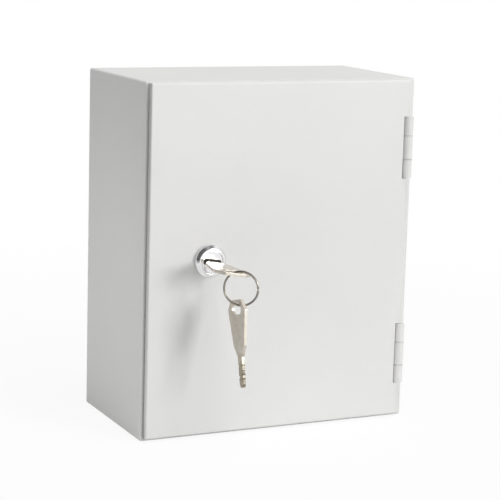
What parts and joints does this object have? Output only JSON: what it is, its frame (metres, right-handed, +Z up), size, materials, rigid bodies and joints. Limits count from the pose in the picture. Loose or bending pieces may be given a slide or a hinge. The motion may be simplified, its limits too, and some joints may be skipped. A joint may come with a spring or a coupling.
{
  "type": "lockable steel wall box",
  "caption": "Light grey folded-steel wall box with a hinged pan door, butt hinges, a cam lock, and a key in the lock with a ring and a spare key.",
  "frame": {"origin": "centre of the base's underside", "axes": "+Z up; +Y towards the wall behind the box, so the door faces -Y and is hinged on the +X side"},
  "size_m": [0.2, 0.1583, 0.24],
  "materials": {
    "grey_paint": "smooth semi-gloss powder coat, light grey",
    "bumper_rubber": "matt black",
    "bright_chrome": "polished chrome plate",
    "zinc_plate": "bright zinc plate",
    "wafer_brass": "stamped brass",
    "ring_steel": "nickel-plated spring wire",
    "key_nickel": "satin nickel plate"
  },
  "bodies": {
    "cabinet": {"body_wrap": "grey_paint", "back_panel": "grey_paint", "strike_bracket": "grey_paint", "upper_door_bumper": "bumper_rubber", "lower_door_bumper": "bumper_rubber", "upper_hinge_frame_leaf": "grey_paint", "lower_hinge_frame_leaf": "grey_paint", "upper_hinge_pin": "grey_paint", "lower_hinge_pin": "grey_paint"},
    "door": {"door_panel": "grey_paint", "upper_hinge_door_leaf": "grey_paint", "lower_hinge_door_leaf": "grey_paint", "lock_housing": "bright_chrome", "lock_washer": "zinc_plate", "lock_nut": "zinc_plate"},
    "plug": {"lock_plug": "bright_chrome", "wafer_tumblers": "wafer_brass", "wafer_springs": "ring_steel", "lock_cam": "zinc_plate", "cam_washer": "zinc_plate", "cam_screw": "zinc_plate"},
    "key": {"door_key": "key_nickel"},
    "ring": {"key_ring": "ring_steel"},
    "spare": {"spare_key": "key_nickel"}
  },
  "joints": [
    {"name": "door_hinge", "type": "hinge", "parent": "cabinet", "child": "door", "pos_m": [0.0942, -0.0552, 0.12], "axis": [0, 0, 1], "range_deg": [0, 180]},
    {"name": "lock_turn", "type": "hinge", "parent": "door", "child": "plug", "pos_m": [-0.054, -0.0606, 0.121], "axis": [0, 1, 0], "range_deg": [-10, 80]},
    {"name": "key_pull", "type": "slide", "parent": "plug", "child": "key", "axis": [0, -1, 0], "range_m": [0, 0.019]},
    {"name": "ring_swing", "type": "hinge", "parent": "key", "child": "ring", "pos_m": [-0.0495, -0.0963, 0.11986], "axis": [0.809, -0.5878, 0], "range_deg": [-10, 20]},
    {"name": "spare_key_swing", "type": "hinge", "parent": "ring", "child": "spare", "pos_m": [-0.04982, -0.09607, 0.09897], "axis": [0.809, -0.5878, 0], "range_deg": [-12, 12]}
  ]
}
